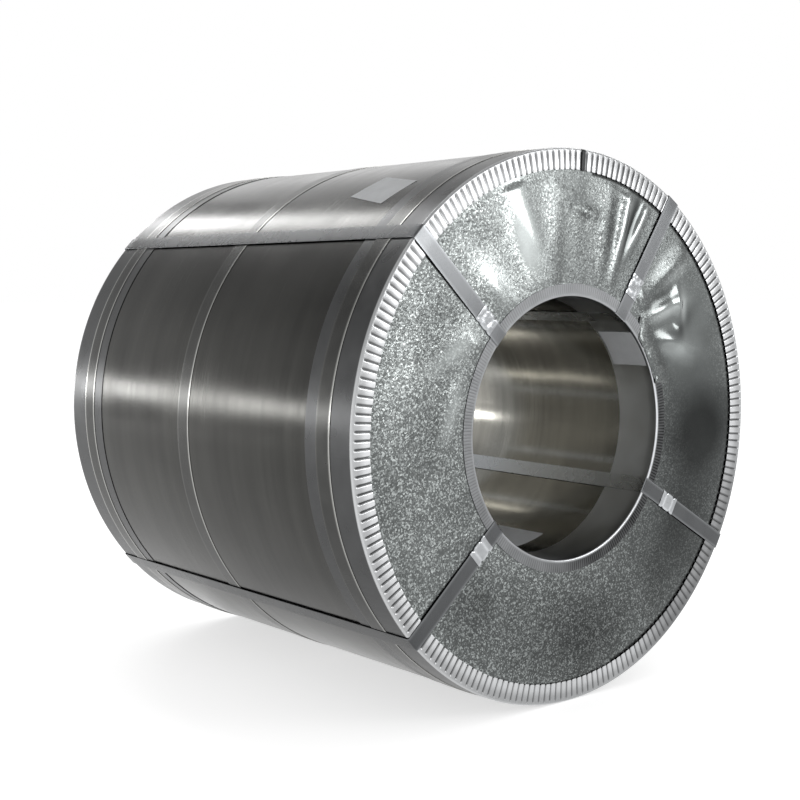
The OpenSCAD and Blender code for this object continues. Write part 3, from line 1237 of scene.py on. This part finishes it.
@dataclass
class SteelCoil:
    """The whole coil: the winding from the frame and the rebuilt pieces of its wrapping."""

    places: Sequence[str] = ("upper_left", "upper_right", "lower_right", "lower_left")

    def pieces(self) -> list[Piece]:
        """Lists the pieces to build.

        Returns:
            The pieces.
        """
        angles = [Span.of(f"eye_strap_{p}").angle for p in self.places]
        made: list[Piece] = [
            Tube("outer_wrap", "wrap_sheet", WRAP),
            Tube("bore_liner", "liner_sheet", LINER, waves=0.12 * MM, inward=True),
            Label("outer_label", "label_paper", PAPER, slant=-15.0),
            Label("bore_label_leg", "label_paper", PAPER, length=86 * MM, inward=True, lift=0.3 * MM),
            Label("bore_label_liner", "label_paper", PAPER, inward=True, lift=0.3 * MM),
        ]
        looks = ((End.FRONT, FRONT_BUCKLES, FRONT_SMOOTH, FRONT_PAINTED_LIGHT), (End.BACK, BACK_BUCKLES, (), ()))
        for end, buckles, polished, painted_light_and_shade in looks:
            made.append(OuterEdgeRing(f"outer_edge_ring_{end.tag}", "edge_ring", RING, end=end))
            made.append(InnerEdgeRing(f"inner_edge_ring_{end.tag}", "bore_ring", BORE_RING, end=end))
            made.append(EndDisc(f"end_disc_{end.tag}", "disc_sheet", DISC, end=end, buckles=buckles,
                                polished=polished, painted_light_and_shade=painted_light_and_shade, straps=angles,
                                lip=(15.0, 47.0) if end is End.FRONT else (0.0, 0.0)))
        # Painted highlights on each girth strap's edges, towards the front and towards the back.
        for place, shine in (("front", (1.0, 0.1)), ("middle", (1.0, 0.15)), ("back", (1.0, 0.9))):
            made.append(GirthStrap(f"girth_strap_{place}", "strap", GIRTH, shine=shine))
            made.append(GirthSeal(f"girth_seal_{place}", "seal", SEAL))
        for place, angle in zip(self.places, angles):
            # Upper eye straps get a stronger painted highlight on the ends than lower ones.
            shine = 0.65 if math.sin(angle) > 0 else 0.15
            made.append(EyeStrap(f"eye_strap_{place}", "strap", STRAP, shine=shine))
            made.append(EyeSeal(f"eye_seal_{place}", "seal", SEAL, angle=angle))
        return made

    def dress(self) -> None:
        """Gives the winding's CAD node its material."""
        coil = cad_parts["coil"]
        coil.data.materials.clear()
        coil.data.materials.append(WINDING.material())

    def make(self) -> None:
        """Builds every piece."""
        self.dress()
        for piece in self.pieces():
            piece.make()


@dataclass
class Studio:
    """A pale floor, a soft pale surround, a few soft lamps and the camera."""

    ground: float

    def make(self) -> None:
        """Sets up the whole studio."""
        self.floor()
        self.surround()
        self.lamps()
        self.camera()
        self.output()

    def floor(self) -> None:
        """A wide pale floor that keeps the coil's shadow."""
        bm = bmesh.new()
        bmesh.ops.create_grid(bm, x_segments=1, y_segments=1, size=60.0)
        bmesh.ops.translate(bm, verts=bm.verts, vec=(0, 0, self.ground))
        mesh = bpy.data.meshes.new("floor")
        bm.to_mesh(mesh)
        bm.free()
        floor = bpy.data.objects.new("floor", mesh)
        bpy.context.scene.collection.objects.link(floor)
        graph = Graph("floor")
        graph.feed(graph.shader.inputs["Base Color"], (0.80, 0.80, 0.80, 1.0))
        graph.feed(graph.shader.inputs["Roughness"], 0.9)
        graph.feed(graph.shader.inputs["Specular IOR Level"], 0.0)
        rays = graph.add("ShaderNodeLightPath").outputs
        seen = graph.calc("MAXIMUM", graph.calc("MAXIMUM", rays["Is Camera Ray"], rays["Is Glossy Ray"]),
                          rays["Is Transmission Ray"])
        graph.feed(graph.shader.inputs["Emission Color"], (1.0, 1.0, 1.0, 1.0))
        graph.feed(graph.shader.inputs["Emission Strength"], graph.calc("MULTIPLY", seen, 0.62))
        mesh.materials.append(graph.material)
        floor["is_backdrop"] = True

    def surround(self) -> None:
        """A world that is white at the horizon and dimmer above."""
        world = bpy.data.worlds.new("surround")
        world.use_nodes = True
        bpy.context.scene.world = world
        tree = world.node_tree
        back = tree.nodes["Background"]
        coords = tree.nodes.new("ShaderNodeTexCoord")
        parts = tree.nodes.new("ShaderNodeSeparateXYZ")
        ramp = tree.nodes.new("ShaderNodeMapRange")
        ramp.interpolation_type = "SMOOTHSTEP"
        for name, value in (("From Min", 0.22), ("From Max", 0.50), ("To Min", 1.0), ("To Max", 0.55)):
            ramp.inputs[name].default_value = value
        tree.links.new(coords.outputs["Generated"], parts.inputs[0])
        tree.links.new(parts.outputs["Z"], ramp.inputs["Value"])
        tree.links.new(ramp.outputs["Result"], back.inputs["Strength"])
        back.inputs["Color"].default_value = (1.0, 1.0, 1.0, 1.0)

    def lamps(self) -> None:
        """Soft lamps: one in front, two behind and above, one low behind on the left, one on the right."""
        for name, place, target, size, watts in (
            ("front_softbox", (2.3, -3.7, 0.9), (0.0, -0.5, 0.1), (1.6, 1.0), 30.0),
            ("back_strip", (0.25, 4.1, 3.2), (-0.35, 0.0, 0.4), (0.45, 2.4), 30.0),
            ("back_softbox", (2.1, 3.9, 2.6), (-0.2, 0.0, 0.5), (2.0, 1.6), 4.0),
            ("left_strip", (-3.1, 4.25, 0.2), (-0.52, 0.0, 0.05), (2.0, 0.35), 25.0),
            ("right_strip", (3.2, 0.0, 3.0), (0.4, 0.0, 0.2), (0.6, 2.4), 25.0),
        ):
            data = bpy.data.lights.new(name, "AREA")
            data.shape = "RECTANGLE"
            data.size, data.size_y = size
            data.energy = watts
            lamp = bpy.data.objects.new(name, data)
            lamp.location = place
            lamp.rotation_euler = (Vector(target) - Vector(place)).to_track_quat("-Z", "Y").to_euler()
            bpy.context.scene.collection.objects.link(lamp)

    def camera(self) -> None:
        """The photo's view, fitted to the outlines of the rim and the bore."""
        rim = Span.of("outer_edge_ring_front").r_max
        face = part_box("end_disc_front")[0].y
        data = bpy.data.cameras.new("camera")
        data.sensor_width = 36.0
        data.lens = 62.46
        camera = bpy.data.objects.new("camera", data)
        azimuth, elevation = math.radians(-39.67), math.radians(4.67)
        back = Vector((math.sin(azimuth) * math.cos(elevation), -math.cos(azimuth) * math.cos(elevation),
                       math.sin(elevation)))
        camera.location = Vector((-0.7965 * rim, face, 0.1452 * rim)) + back * 4.4828 * rim
        camera.rotation_euler = (-back).to_track_quat("-Z", "Y").to_euler()
        bpy.context.scene.collection.objects.link(camera)
        bpy.context.scene.camera = camera

    def output(self) -> None:
        """Plain colours, with no look of their own."""
        scene = bpy.context.scene
        scene.render.engine = "CYCLES"
        scene.view_settings.view_transform = "Standard"


def main() -> None:
    """Builds the coil and the studio."""
    logging.basicConfig(level=logging.INFO, format="%(name)s: %(message)s")
    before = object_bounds()
    SteelCoil().make()
    Studio(ground=before[0].z).make()


if __name__ == "__main__":
    main()
